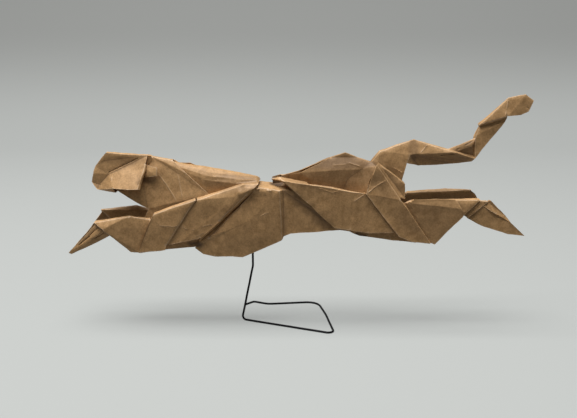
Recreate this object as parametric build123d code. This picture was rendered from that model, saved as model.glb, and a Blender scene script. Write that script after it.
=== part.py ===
from build123d import *
import math
import os

# Running cheetah folded from one sheet of kraft paper, carried in the air on a bent wire.
# Millimetres. The head points to -X, the tail to +X, the table is Z = 0, the animal's middle plane is Y = 0.

# Paper
PLY = 0.5               # thickness of a folded panel, two or three layers of the sheet

# Trunk: saddle is the top of the back between ribs and haunches
SADDLE_X = -13.4
SADDLE_HEIGHT = 65.0
RIB_HALF = 7.7          # half width of the body at the top of the belly flaps
BELLY_DEPTH = 31.6      # saddle down to the hem of the belly flaps
WAIST_HALF = 6.4

# Head and neck
WITHERS_REACH = 41.2    # saddle forward to the withers
WITHERS_RISE = 10.2
NECK_REACH = 11.0       # withers forward to the nape
NECK_RISE = 1.7
CROWN_HALF = 1.6
CHEEK_HALF = 9.0        # half width across the flared cheeks
HEAD_REACH = 25.1       # nape forward to the nose
MUZZLE_DROP = 11.0      # nape down to the nose

# Rounded back behind the withers
ROLL_FRONT_HALF = 1.4
ROLL_MIDDLE_HALF = 5.0
ROLL_REAR_HALF = 5.6
ROLL_RISE = 4.8         # height of the arch over the ribs
ROLL_STEPS = 8          # flats round the arch

# Forelegs
SHOULDER_REACH = 30.5
SHOULDER_DROP = 5.7
SHOULDER_HALF = 9.5
ARM_REACH = 26.0        # shoulder forward to the elbow
ARM_DROP = 24.4
FOREARM_REACH = 19.4    # elbow forward to the wrist
FOREARM_RISE = 13.5
WRIST_HALF = 6.8
PAW_REACH = 12.6        # wrist forward to the claws
PAW_DROP = 15.1
PAW_HALF = 2.0
FAR_WRIST_LIFT = 2.9    # the far foreleg is held a little higher
FOLD_WIDTH = 1.3        # width of the rounded folds along the tops of the legs
PLEAT = 0.8             # step where one panel slips under the next

# Hindquarters
HIP_REACH = 44.0        # saddle back to the hip
HIP_DROP = 2.9
HIP_HALF = 9.2
CROUP_RISE = 16.7       # hip up to the top of the rump
KNEE_REACH = 30.5       # hip back to the knee
KNEE_DROP = 22.6
HOCK_REACH = 19.3       # knee back to the hock
HOCK_RISE = 19.5
TOE_REACH = 20.9        # hock back to the toe
TOE_DROP = 16.0
FAR_HOCK_LIFT = 1.4     # the far hind leg is held a little higher, with its foot turned down
FAR_FOOT_DROP = 2.4
FAR_TOE_PULL = 1.2

# Tail
TAIL_ROOT_REACH = 5.0   # hip back to the root of the tail
TAIL_ROOT_RISE = 11.2
TAIL_PEAK_REACH = 16.4
TAIL_PEAK_RISE = 11.1
TAIL_TURN_REACH = 26.9  # peak back to the low corner where the tail turns up
TAIL_TURN_DROP = 8.0
TAIL_TIP_REACH = 24.4   # low corner back to the tip
TAIL_TIP_RISE = 25.5
TAIL_HALF = 0.4         # half width of the tail's top fold
TAIL_FLANK = 3.0        # half width across the tail's side ridge

# Wire stand
WIRE = 0.9
SEAT_GAP = 0.2          # wire end below the paper it carries
LOOP_LEFT = -25.0
LOOP_RIGHT = 17.2
LOOP_FRONT = -17.6
LOOP_BACK = 23.2
LOOP_DIP = 3.2          # how far the back run bows towards the front
KINK_HEIGHT = 26.6
UPRIGHT_X = -19.6
CORNER_RADIUS = 2.6

# Corner points that the parts of the animal hang from, on the near side of the middle plane
SADDLE = Vector(SADDLE_X, 0, SADDLE_HEIGHT)
WITHERS = SADDLE + (-WITHERS_REACH, 0, WITHERS_RISE)
NAPE = WITHERS + (-NECK_REACH, 0, NECK_RISE)
NOSE = NAPE + (-HEAD_REACH, 0, -MUZZLE_DROP)
SHOULDER = SADDLE + (-SHOULDER_REACH, -SHOULDER_HALF, -SHOULDER_DROP)
ELBOW = SHOULDER + (-ARM_REACH, 0.6, -ARM_DROP)
HIP = SADDLE + (HIP_REACH, -HIP_HALF, -HIP_DROP)
CROUP = Vector(HIP.X - 8.9, 0, HIP.Z + CROUP_RISE)
KNEE = HIP + (KNEE_REACH, -0.8, -KNEE_DROP)
HOCK = KNEE + (HOCK_REACH, 1.7, HOCK_RISE)
TOE = HOCK + (TOE_REACH, 0.1, -TOE_DROP)
TAIL_ROOT = Vector(HIP.X + TAIL_ROOT_REACH, 0, HIP.Z + TAIL_ROOT_RISE)
TAIL_PEAK = TAIL_ROOT + (TAIL_PEAK_REACH, 0, TAIL_PEAK_RISE)
TAIL_TURN = TAIL_PEAK + (TAIL_TURN_REACH, 0, -TAIL_TURN_DROP)
TAIL_TIP = TAIL_TURN + (TAIL_TIP_REACH, 0, TAIL_TIP_RISE)
HEM_Z = SADDLE_HEIGHT - BELLY_DEPTH


def folded(facets):
    """One sheet of paper: flat facets that share corners, given the thickness of a ply with mitred folds."""
    corners = []
    places = {}
    triangles = []
    for facet in facets:
        ring = []
        for corner in facet:
            key = tuple(round(value, 3) for value in corner)
            if key not in places:
                places[key] = len(corners)
                corners.append(corner)
            ring.append(places[key])
        triangles += [(ring[0], ring[i], ring[i + 1]) for i in range(1, len(ring) - 1)]

    leans = [[] for _ in corners]
    for triangle in triangles:
        for turn in range(3):
            here, ahead, behind = (corners[triangle[(turn + step) % 3]] for step in (0, 1, 2))
            normal = (ahead - here).cross(behind - here).normalized()
            leans[triangle[turn]].append((normal, (ahead - here).get_angle(behind - here)))

    front = []
    back = []
    for corner, lean in zip(corners, leans):
        mean = sum((normal * angle for normal, angle in lean), Vector(0, 0, 0)).normalized()
        slant = min(mean.dot(normal) for normal, _ in lean)
        step = mean * (PLY / 2 / max(slant, 0.5))
        front.append(corner + step)
        back.append(corner - step)

    edges = [(a, b) for t in triangles for a, b in ((t[0], t[1]), (t[1], t[2]), (t[2], t[0]))]
    rim = set(edges) - {(b, a) for a, b in edges}
    skin = [[front[i] for i in t] for t in triangles]
    skin += [[back[i] for i in reversed(t)] for t in triangles]
    for a, b in sorted(rim):
        if (front[b] - back[a]).length < (front[a] - back[b]).length:
            skin += [[front[b], front[a], back[a]], [front[b], back[a], back[b]]]
        else:
            skin += [[front[b], front[a], back[b]], [front[a], back[a], back[b]]]
    return Solid(Shell([Face(Wire.make_polygon(points)) for points in skin]))


def mirrored(point):
    """The same corner on the far side of the animal."""
    return Vector(point.X, -point.Y, point.Z)


def far_side(facets):
    """The near facets turned over to the far side, each still fanned from its first corner."""
    return [[mirrored(point) for point in (facet[0], *reversed(facet[1:]))] for facet in facets]


def both_sides(facets, ridge=()):
    """Near facets, their far copies, and the narrow top fold that joins them along the ridge."""
    folds = [[q, p, mirrored(p), mirrored(q)] for p, q in zip(ridge, ridge[1:])]
    return facets + far_side(facets) + folds


def head_and_neck():
    """Wedge-shaped face with flared, hemmed cheeks, and the neck panels that hang from the same ridge."""
    crown_back = NAPE + (0.3, -CROWN_HALF - 0.4, 0.6)
    crown_mid = NAPE + (-8.3, -CROWN_HALF, 1.3)
    crown_front = NOSE + (6.8, -CROWN_HALF + 0.4, 13.1)
    brow = NOSE + (5.8, -CROWN_HALF + 0.6, 9.5)
    bridge = NOSE + (1.9, -CROWN_HALF + 0.9, 6.9)
    eye = NOSE + (7.9, -CROWN_HALF - 0.1, 3.4)
    nose_top = NOSE + (0.9, -CROWN_HALF + 0.1, 3.8)
    nose = NOSE + (0.0, -CROWN_HALF + 0.3, 0.0)
    lip = NOSE + (3.3, -CROWN_HALF + 0.1, -1.2)
    chin = NOSE + (2.6, -CROWN_HALF - 1.2, -3.1)
    mouth = NOSE + (10.6, -CHEEK_HALF + 3.4, -2.2)
    chin_under = NOSE + (10.7, -CHEEK_HALF + 5.8, -4.2)
    jaw = NAPE + (-2.4, -CHEEK_HALF, -12.8)
    cheek_back = crown_back + (jaw - crown_back) * 0.25
    hem_top = cheek_back + (0.5, PLEAT, -0.4)
    hem_jaw = jaw + (0.8, PLEAT, -0.2)
    hem_mouth = mouth + (6.0, 1.6, 1.0)
    face = [
        [crown_front, brow, crown_mid],
        [crown_front, bridge, brow],
        [brow, eye, crown_back, crown_mid],
        [eye, mouth, jaw, cheek_back, crown_back],
        [cheek_back, jaw, hem_jaw, hem_top],
        [hem_top, hem_jaw, hem_mouth],
        [bridge, nose_top, eye, brow],
        [nose_top, nose, lip, eye],
        [lip, chin, mouth, eye],
        [nose, chin, lip],
        [chin, chin_under, mouth],
    ]
    neck_half = (ROLL_MIDDLE_HALF + SHOULDER_HALF - FOLD_WIDTH) / 2
    nape = NAPE + (1.9, -CROWN_HALF + 0.6, 0.2)
    withers = WITHERS + (0.2, -CROWN_HALF, 0.3)
    gorge = NAPE + (-1.0, -1.5, -5.5)
    throat = NAPE + (-16.2, -1.9, -13.0)
    chest_front = WITHERS + (-10.4, -5.6, -20.4)
    chest_low = WITHERS + (-15.0, -6.2, -29.3)
    mane_mid = WITHERS + (6.7, -4.2, -5.1)
    mane_low = Vector(WITHERS.X + 16.7, -neck_half, WITHERS.Z - 14.1)
    hem_front = SHOULDER + (-20.3, 2.3, -23.2)
    hem = SHOULDER + (-14.4, 1.9, -22.9)
    hem_rear = SHOULDER + (3.4, 2.9, -21.4)
    chest_back = SHOULDER + (4.6, 3.4, -12.5)
    neck = [
        [chest_front, nape, gorge, throat],
        [nape, chest_front, mane_low, mane_mid, withers],
        [chest_front, chest_low, hem_front, hem, hem_rear, chest_back, mane_low],
    ]
    ridge = [withers, nape, crown_back, crown_mid, crown_front, bridge, nose_top, nose, chin, chin_under]
    return folded(both_sides(face + neck, ridge))


def ear_tabs():
    """Short tab that comes out from under the back of each cheek."""
    root_top = NAPE + (-3.5, -0.9, -2.6)
    root_low = NAPE + (-4.6, -1.2, -9.5)
    back_low = NAPE + (4.9, -6.4, -7.5)
    back_top = NAPE + (4.9, -5.4, -4.0)
    tab = [[root_top, root_low, back_low, back_top]]
    return [folded(tab), folded(far_side(tab))]


def roll_section(x, top, half, rise, skirt):
    """Points over one station of the rounded back: near skirt, arch from side to side, far skirt."""
    radius = (half * half + rise * rise) / (2 * rise)
    reach = math.asin(min(half / radius, 1))
    points = [Vector(x, -half, top - rise - skirt)]
    for step in range(ROLL_STEPS + 1):
        turn = reach * (2 * step / ROLL_STEPS - 1)
        points.append(Vector(x, radius * math.sin(turn), top - radius + radius * math.cos(turn)))
    points.append(Vector(x, half, top - rise - skirt))
    return points


def back_roll():
    """Stations of the rounded back, from under the withers to the saddle."""
    return [
        roll_section(WITHERS.X - 0.9, WITHERS.Z - 0.4, ROLL_FRONT_HALF, 1.3, 9.0),
        roll_section(WITHERS.X + 14.1, WITHERS.Z - 2.8, ROLL_MIDDLE_HALF, ROLL_RISE, 8.1),
        roll_section(SADDLE.X - 13.3, SADDLE.Z + 5.0, ROLL_REAR_HALF, ROLL_RISE - 0.6, 1.3),
        roll_section(SADDLE.X - 3.9, SADDLE.Z + 2.9, ROLL_REAR_HALF - 0.8, ROLL_RISE / 3, 1.2),
        roll_section(SADDLE.X - 2.8, SADDLE.Z + 1.8, ROLL_REAR_HALF - 1.0, ROLL_RISE / 6, 0.3),
    ]


def spine_pleat():
    """Thin edge of a buried layer that stands up along the spine."""
    front = WITHERS + (0.8, 0.4, -0.8)
    rear = WITHERS + (14.2, 0.4, -3.6)
    top = WITHERS + (7.5, 0.4, -0.9)
    return folded([[front, rear, top]])


def foreleg(lift):
    """Front panel of the upper arm, forearm slipped under it and pleated paw. The lift raises the wrist."""
    front = SHOULDER + (-18.6, 0.2, -6.6)
    left = ELBOW + (4.9, -0.7, 12.4)
    elbow = ELBOW + (0.5, -0.9, 0.5)
    arm_hem = ELBOW + (12.0, -1.3, 1.9)
    fold = ELBOW + (12.5, -1.3, 4.2)
    front_in = front + (0.3, FOLD_WIDTH, 0.6)
    shoulder_in = SHOULDER + (-0.2, FOLD_WIDTH, 0.5)
    arm = [
        [front, left, elbow, arm_hem, fold, SHOULDER],
        [front, SHOULDER, shoulder_in, front_in],
    ]
    wrist = Vector(ELBOW.X - FOREARM_REACH, -WRIST_HALF, ELBOW.Z + FOREARM_RISE + lift)
    claw = Vector(wrist.X - PAW_REACH, -PAW_HALF, wrist.Z - PAW_DROP - lift)
    tuck = front + (-1.4, PLEAT, -2.6)
    tuck_left = left + (0.1, PLEAT, 0.0)
    tuck_elbow = elbow + (0.1, PLEAT, -0.1)
    top = ELBOW + (-3.5, 0.3, 16.7 + lift / 2)
    crease = wrist + (4.2, -2.2, -2.3)
    wrist_low = wrist + (7.2, -1.6, -5.0)
    low = ELBOW + (-3.3, 0.6, 0.7)
    wrist_in = wrist + (0.3, 2 * FOLD_WIDTH, 0.2)
    top_in = top + (-0.3, FOLD_WIDTH, 0.2)
    tuck_in = tuck + (-0.6, FOLD_WIDTH, 0.4)
    elbow_in = ELBOW + (0.4, FOLD_WIDTH, 0.6)
    low_in = low + (-0.2, FOLD_WIDTH, 0.1)
    sleeve = [
        [left, front, tuck, tuck_left],
        [elbow, left, tuck_left, tuck_elbow],
        [wrist, crease, top],
        [crease, wrist_low, low, tuck_elbow, tuck_left, tuck, top],
        [wrist, top, top_in, wrist_in],
        [top, tuck, tuck_in, top_in],
        [wrist_in, top_in, tuck_in, elbow_in, low_in],
    ]
    paw_top = wrist + (0.2, 1.5 * PLEAT, -0.8)
    paw_fold = crease + (-0.2, 1.5 * PLEAT, -0.5)
    paw_low = wrist_low + (-0.4, 1.5 * PLEAT, -0.4)
    sole = claw + (1.4, -0.4, -0.5)
    paw = [
        [crease, wrist, paw_top, paw_fold],
        [wrist_low, crease, paw_fold, paw_low],
        [paw_top, claw, paw_fold],
        [paw_fold, claw, sole, paw_low],
    ]
    return arm + sleeve + paw


def ribs(stations):
    """Rear of the upper arm, the valley up to the rounded back, the diagonal pleat and the belly flap."""
    fold = ELBOW + (12.5, -1.3, 4.2)
    top = SHOULDER + (0.6, PLEAT, 0.0)
    hem_front = fold + (0.4, PLEAT, 0.0)
    bend = SHOULDER + (18.6, 0.0, 1.6)
    rear_top = SADDLE + (-9.7, -RIB_HALF - 0.5, 0.7)
    rear = SADDLE + (-3.2, -RIB_HALF - 0.1, 1.0)
    top_in = top + (-0.2, FOLD_WIDTH, 0.4)
    rear_top_in = rear_top + (-0.1, FOLD_WIDTH, 0.3)
    rear_in = rear + (0.0, FOLD_WIDTH, 0.4)
    edge_top = SADDLE + (-8.1, -RIB_HALF - 1.5, -3.3)
    edge_mid = SHOULDER + (10.2, -0.3, -9.3)
    edge_low = SHOULDER + (1.6, -0.3, -17.1)
    hem = SHOULDER + (-7.3, -0.3, -19.0)
    arm = [
        [SHOULDER, fold, hem_front, top],
        [top, bend, rear_top],
        [bend, edge_top, rear, rear_top],
        [bend, top, hem_front, hem, edge_low, edge_mid, edge_top],
        [top, rear_top, rear_top_in, top_in],
        [rear_top, rear, rear_in, rear_top_in],
        [top_in, rear_top_in, stations[2][0], stations[1][0]],
        [rear_top_in, rear_in, stations[3][0], stations[2][0]],
    ]
    valley_top = SADDLE + (-3.6, -RIB_HALF + 1.0, -1.6)
    valley_mid = SADDLE + (-17.3, -RIB_HALF + 0.7, -14.1)
    valley_low = SADDLE + (-29.5, -RIB_HALF - 0.4, -25.1)
    flap_top_front = SADDLE + (-3.1, -RIB_HALF + 0.3, -0.6)
    flap_top = SADDLE + (1.1, -RIB_HALF, -1.1)
    flap_top_rear = SADDLE + (6.2, -RIB_HALF, -2.1)
    flap_front = SADDLE + (-10.8, -RIB_HALF - 0.8, -8.6)
    flap_front_low = SADDLE + (-25.1, -RIB_HALF - 1.0, -22.9)
    flap_toe = Vector(SADDLE.X - 31.3, -RIB_HALF - 0.5, HEM_Z + 4.0)
    flap_corner = Vector(SADDLE.X - 27.8, -RIB_HALF - 0.9, HEM_Z + 1.2)
    flap_hem_front = Vector(SADDLE.X - 22.8, -RIB_HALF - 1.1, HEM_Z + 0.3)
    flap_hem = Vector(SADDLE.X - 10.2, -RIB_HALF - 1.3, HEM_Z)
    flap_hem_rear = Vector(SADDLE.X - 2.6, -RIB_HALF - 1.2, HEM_Z + 3.1)
    flap_low_rear = Vector(SADDLE.X + 7.2, -RIB_HALF - 0.8, HEM_Z + 7.6)
    belly = SADDLE + (-7.7, -RIB_HALF - 1.9, -15.4)
    pleat = [
        [edge_mid, edge_low, valley_low, valley_mid],
        [edge_top, edge_mid, valley_mid, valley_top],
        [rear, edge_top, valley_top],
        [valley_mid, valley_low, flap_front_low, flap_front],
        [valley_top, valley_mid, flap_front, flap_top_front],
        [valley_low, flap_toe, flap_front_low],
    ]
    rim = [
        flap_top_front, flap_front, flap_front_low, flap_toe, flap_corner, flap_hem_front, flap_hem,
        flap_hem_rear, flap_low_rear, flap_top_rear, flap_top, flap_top_front,
    ]
    flap = [[belly, a, b] for a, b in zip(rim, rim[1:])]
    ridge_front = SADDLE + (-2.9, 0, 0)
    ridge_rear = SADDLE + (2.8, 0, 0)
    waist_top = SADDLE + (7.6, -WAIST_HALF, -2.1)
    waist_low = Vector(SADDLE.X + 7.7, -WAIST_HALF - 0.7, HEM_Z + 8.9)
    waist_hem = Vector(SADDLE.X + 11.2, -WAIST_HALF - 0.8, HEM_Z + 10.3)
    waist_rear = SADDLE + (32.9, -WAIST_HALF - 1.0, -19.4)
    eaves = SADDLE + (30.5, -WAIST_HALF + 0.2, -2.5)
    loin = SADDLE + (30.5, 0, 3.2)
    lining_front = HIP + (-7.0, 1.2, -17.0)
    lining_point = HIP + (-2.5, 1.0, -19.1)
    lining_hem = HIP + (11.1, 0.8, -21.0)
    lining_rear = HIP + (22.6, 0.6, -22.2)
    lining_back = HIP + (14.2, 1.6, -7.1)
    waist = [
        [flap_top_front, flap_top, ridge_rear, ridge_front],
        [flap_top, flap_top_rear, waist_top, ridge_rear],
        [flap_top_rear, flap_low_rear, waist_low, waist_top],
        [waist_top, waist_low, waist_hem, waist_rear, lining_front, lining_point, lining_hem, lining_rear,
         lining_back, eaves],
        [waist_top, eaves, loin, ridge_rear],
    ]
    return arm + pleat + flap + waist


def forequarters():
    """Rounded back, ribs, waist and both forelegs, in one run of paper."""
    stations = back_roll()
    roll = []
    for ahead, behind in zip(stations, stations[1:]):
        for i in range(len(ahead) - 1):
            roll.append([ahead[i], behind[i], behind[i + 1], ahead[i + 1]])
    near = ribs(stations) + foreleg(0)
    far = far_side(ribs(stations) + foreleg(FAR_WRIST_LIFT))
    return folded(roll + near + far)


def hind_leg(valley, hock, toe, drop):
    """Thigh flap, strap laid over it, shank, band round the hock and foot. The drop turns the foot down."""
    valley_front, valley_mid, valley_back = valley
    tip = SADDLE + (2.7, -2.2, 2.3)
    top = SADDLE + (6.5, -4.6, 3.1)
    lip = SADDLE + (8.2, -7.6, 2.0)
    strap_top = HIP + (0.0, -0.1, 0.1)
    strap_low = HIP + (14.8, -1.0, -19.1)
    front_low = HIP + (-13.5, 0.5, -15.4)
    hem = HIP + (-6.9, 0.2, -16.3)
    hem_mid = HIP + (1.1, -0.1, -17.6)
    hem_rear = strap_low + (-1.8, PLEAT, 1.8)
    back = strap_top + (-0.3, PLEAT, -0.2)
    mid = SADDLE + (28.4, -7.7, -0.3)
    top_in = top + (0.3, FOLD_WIDTH, 0.1)
    mid_in = mid + (0.0, FOLD_WIDTH, 0.2)
    back_in = back + (-0.3, FOLD_WIDTH, 0.2)
    thigh = [
        [lip, front_low, hem, hem_mid, hem_rear, back, mid, top],
        [tip, lip, top],
        [top, mid, mid_in, top_in],
        [mid, back, back_in, mid_in],
        [tip, top, top_in],
        [top_in, mid_in, valley_mid, valley_front],
        [mid_in, back_in, valley_back, valley_mid],
    ]

    apex = TAIL_ROOT + (-0.6, -6.2, 1.3)
    fold = HIP + (15.0, -0.4, -2.9)
    strap_hem = KNEE + (-10.0, -0.4, 1.1)
    fold_low = KNEE + (-2.2, -0.4, 0.4)
    strap = [
        [back, hem_rear, strap_low, strap_top],
        [apex, strap_top, fold],
        [strap_top, strap_low, strap_hem, fold_low, fold],
    ]

    panel_apex = apex + (0.7, PLEAT, 0.2)
    panel_tuck = fold + (-0.2, PLEAT, 1.2)
    panel_low = HIP + (17.1, 1.8, -3.0)
    panel_corner = HIP + (17.1, 2.6, 3.9)
    corner_in = panel_corner + (0.1, 2.0, 0.2)
    low_in = panel_low + (0.1, 2.0, 0.0)
    apex_in = panel_apex + (0.1, FOLD_WIDTH, 0.3)
    panel = [
        [apex, fold, panel_tuck, panel_apex],
        [panel_apex, panel_tuck, panel_low, panel_corner],
        [panel_corner, panel_low, low_in, corner_in],
        [panel_apex, panel_corner, corner_in, apex_in],
    ]

    shank_top = fold + (1.7, PLEAT, -2.0)
    shank_low = fold_low + (0.3, PLEAT, 0.2)
    notch = KNEE + (-11.5, 0.8, 18.4)
    ridge = KNEE + (-9.5, 0.9, 19.8)
    facet = hock + (-10.5, -0.4, 0.2)
    facet_low = hock + (-8.4, -1.6, -3.4)
    cuff = hock + (-7.0, -1.3, -6.1)
    ridge_in = ridge + (-0.8, FOLD_WIDTH, -0.4)
    facet_in = facet + (0.0, FOLD_WIDTH, 0.1)
    hock_in = hock + (-0.4, 2 * FOLD_WIDTH, 0.1)
    cuff_in = cuff + (-0.4, 2 * FOLD_WIDTH, 0.2)
    knee_in = KNEE + (0.1, FOLD_WIDTH, 0.0)
    lining_low = KNEE + (-8.4, FOLD_WIDTH + 0.2, 2.5)
    lining_top = fold + (0.9, 2.0, -2.2)
    shank = [
        [fold, fold_low, shank_low, shank_top],
        [notch, shank_top, shank_low, KNEE, cuff, facet_low, facet, ridge],
        [facet, facet_low, cuff, hock],
        [ridge, facet, facet_in, ridge_in],
        [facet, hock, hock_in, facet_in],
        [notch, ridge, ridge_in],
        [ridge_in, facet_in, hock_in, cuff_in, knee_in, lining_low, lining_top],
    ]

    band_top = hock + (0.1, PLEAT, -0.3)
    band_low = cuff + (0.1, PLEAT, -0.3)
    band_end_low = hock + (-5.2, -0.5, -7.7)
    band_end = hock + (3.5, 0.8, -0.6 - drop)
    band = [
        [hock, cuff, band_low, band_top],
        [band_top, band_low, band_end_low, band_end],
    ]

    foot_top = band_end + (0.1, PLEAT, -0.2)
    foot_low = band_end_low + (0.1, PLEAT, -0.3)
    crease_top = hock + (1.1, 0.6, -2.5 - drop)
    crest = hock + (4.9, 1.5, -0.7 - drop)
    heel_top = hock + (11.5, 1.0, -7.4 - drop)
    heel = toe + (-6.8, 0.4, 5.5)
    low = toe + (-7.8, -0.3, 0.6)
    sole = hock + (2.5, 0.1, -12.1)
    crease = hock + (7.1, 0.0, -5.8 - drop)
    foot_in = crest + (-0.4, FOLD_WIDTH, 0.1)
    heel_top_in = heel_top + (-0.4, FOLD_WIDTH, 0.0)
    heel_in = heel + (-0.4, FOLD_WIDTH, 0.0)
    toe_in = low + (0.2, FOLD_WIDTH, 0.2)
    sole_in = foot_low + (0.6, FOLD_WIDTH, 0.2)
    foot = [
        [band_end, band_end_low, foot_low, crease_top, foot_top],
        [crease_top, foot_low, sole, low, toe, heel, crease],
        [foot_top, crease_top, crease, heel_top, crest],
        [crease, heel, heel_top],
        [crest, heel_top, heel_top_in, foot_in],
        [heel_top, heel, heel_in, heel_top_in],
        [foot_in, heel_top_in, heel_in, toe_in, sole_in],
    ]
    return thigh + strap + panel + shank + band + foot


def tail_strip(root, root_apex):
    """Tail folded from a narrow strip: flat root, diamond-shaped run, open turn and two upright flats."""
    root_top = TAIL_ROOT + (1.5, -1.6, 6.2)
    peak = TAIL_PEAK + (0.0, -TAIL_HALF, 0.0)
    root_low = TAIL_ROOT + (11.3, -TAIL_FLANK - 0.4, -6.3)
    root_mid = TAIL_PEAK + (-3.3, -TAIL_FLANK, -9.7)
    flank = TAIL_PEAK + (-2.0, -TAIL_FLANK + 0.5, -6.2)
    bend = TAIL_PEAK + (6.2, -TAIL_HALF, -1.8)
    dip = TAIL_PEAK + (14.9, -TAIL_HALF, -4.3)
    flank_end = TAIL_PEAK + (17.7, -TAIL_FLANK, -5.1)
    under_front = TAIL_PEAK + (2.3, -TAIL_HALF, -11.2)
    under_mid = TAIL_TURN + (-9.4, -TAIL_HALF, -2.3)
    under_end = TAIL_TURN + (-1.5, -1.2, -1.3)
    turn_top = TAIL_TURN + (0.6, -TAIL_HALF, 9.2)
    turn_in = TAIL_TURN + (-1.0, -1.5, 5.9)
    turn_base = TAIL_TURN + (-8.4, -1.6, 2.9)
    turn_low = TAIL_TURN + (-0.3, -0.6, 0.9)
    left = TAIL_TURN + (1.7, -TAIL_HALF - 0.4, 14.1)
    left_low = TAIL_TURN + (0.0, -1.7, 9.9)
    corner = TAIL_TURN + (0.0, -2.4, 0.0)
    right_mid = TAIL_TURN + (6.2, -1.4, 8.2)
    right = TAIL_TURN + (12.2, -1.0, 15.8)
    right_top = TAIL_TURN + (13.1, -TAIL_HALF - 0.2, 18.0)
    tip_left = TAIL_TURN + (1.5, -1.8, 15.0)
    tip_up = TAIL_TIP + (-10.7, -TAIL_HALF, 0.9)
    tip_top = TAIL_TIP + (-3.5, -TAIL_HALF, 2.6)
    tip_point = TAIL_TIP + (0.0, -TAIL_HALF, 0.0)
    tip_right = TAIL_TIP + (-2.2, -1.2, -4.7)
    tip_low = TAIL_TIP + (-5.6, -1.6, -6.4)
    tip_root = TAIL_TURN + (12.9, -2.0, 18.7)
    tip_crease = TAIL_TIP + (-5.4, -1.0, -0.5)
    facets = [
        [root_top, root, root_apex, root_low, root_mid, flank, peak],
        [peak, flank, flank_end, dip, bend],
        [flank, root_mid, under_front, under_mid, under_end, corner, flank_end],
        [dip, flank_end, turn_base],
        [dip, turn_base, turn_in, turn_top],
        [turn_base, turn_low, turn_in],
        [flank_end, corner, turn_low, turn_base],
        [turn_low, corner, left_low],
        [turn_in, turn_low, left_low, turn_top],
        [turn_top, left_low, left],
        [left_low, corner, right_mid, right, right_top, left],
        [left, right_top, tip_root, tip_left],
        [tip_left, tip_root, tip_crease, tip_up],
        [tip_root, tip_low, tip_right, tip_crease],
        [tip_crease, tip_right, tip_point, tip_top],
        [tip_up, tip_crease, tip_top],
    ]
    ridge = [tip_point, tip_top, tip_up, tip_left, left, turn_top, dip, bend, peak, root_top]
    return facets, ridge


def hindquarters():
    """Rump panels that meet at the croup and open in a slit towards the saddle, with hind legs and tail."""
    front = SADDLE + (7.2, -1.6, 3.3)
    slit = SADDLE + (15.3, -3.0, 5.4)
    valley_front = SADDLE + (8.1, -2.6, 1.3)
    valley_mid = SADDLE + (28.4, -4.4, -3.4)
    valley_back = HIP + (0.3, 3.8, -1.8)
    join = CROUP + (-6.6, -0.6, -2.3)
    peak = CROUP + (0.0, -0.6, 0.0)
    back = CROUP + (5.7, -0.7, -2.2)
    root = TAIL_ROOT + (-2.5, -1.2, 1.2)
    apex = TAIL_ROOT + (0.1, -TAIL_FLANK + 0.8, -0.2)
    side = Vector(HIP.X + 1.7, -4.4, HIP.Z + 4.4)
    bend = Vector(HIP.X - 1.5, -2.6, HIP.Z + 9.8)
    rump = [
        [front, valley_front, valley_mid, slit],
        [slit, valley_mid, bend, join],
        [valley_mid, valley_back, side, bend],
        [join, bend, back, peak],
        [bend, side, apex, root, back],
    ]
    tail, tail_ridge = tail_strip(root, apex)
    valley = (valley_front, valley_mid, valley_back)
    far_hock = HOCK + (0, 0, FAR_HOCK_LIFT)
    far_toe = TOE + (-FAR_TOE_PULL, 0, FAR_HOCK_LIFT - FAR_FOOT_DROP)
    near_leg = hind_leg(valley, HOCK, TOE, 0)
    far_leg = far_side(hind_leg(valley, far_hock, far_toe, FAR_FOOT_DROP))
    ridge = [*tail_ridge, root, back, peak, join]
    return folded(both_sides(rump + tail, ridge) + near_leg + far_leg)


def cheetah():
    """The three long runs of folds and the small loose flaps, joined into one piece of paper."""
    flaps = [forequarters(), head_and_neck(), hindquarters(), spine_pleat(), *ear_tabs()]
    return flaps[0].fuse(*flaps[1:])


def wire_stand():
    """One wire: open loop on the table, slanting upright with a kink, end seated under the back."""
    level = WIRE / 2
    seat = SADDLE.Z + 3.2 - PLY / 2 - SEAT_GAP
    route = [
        Vector(LOOP_LEFT + 0.7, LOOP_BACK - 3.8, level),
        Vector(LOOP_LEFT + 4.4, LOOP_BACK + 0.3, level),
        Vector(LOOP_LEFT + 11.6, LOOP_BACK - LOOP_DIP, level),
        Vector(LOOP_RIGHT - 7.1, LOOP_BACK, level),
        Vector(LOOP_RIGHT, LOOP_FRONT, level),
        Vector(LOOP_LEFT, 0, level),
        Vector(UPRIGHT_X, 0, KINK_HEIGHT),
        Vector(UPRIGHT_X, 0, seat),
    ]
    radii = [1.6, 8.0, CORNER_RADIUS, CORNER_RADIUS, CORNER_RADIUS, 5.0]
    path = FilletPolyline(*route, radius=radii)
    section = Plane(route[0], z_dir=route[1] - route[0]) * Circle(WIRE / 2)
    return sweep(section, path=path)


paper = cheetah()
wire = wire_stand()
box = Compound([paper, wire]).bounding_box()
to_origin = Pos(-box.center().X, -box.center().Y, -box.min.Z)
os.makedirs("parts", exist_ok=True)
export_step(to_origin * paper, "parts/folded_cheetah.step")
export_step(to_origin * wire, "parts/wire_stand.step")
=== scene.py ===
import math

import bmesh
import bpy
import numpy as np
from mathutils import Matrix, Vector
from mathutils.bvhtree import BVHTree
from mathutils.geometry import delaunay_2d_cdt
from mathutils.kdtree import KDTree


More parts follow.
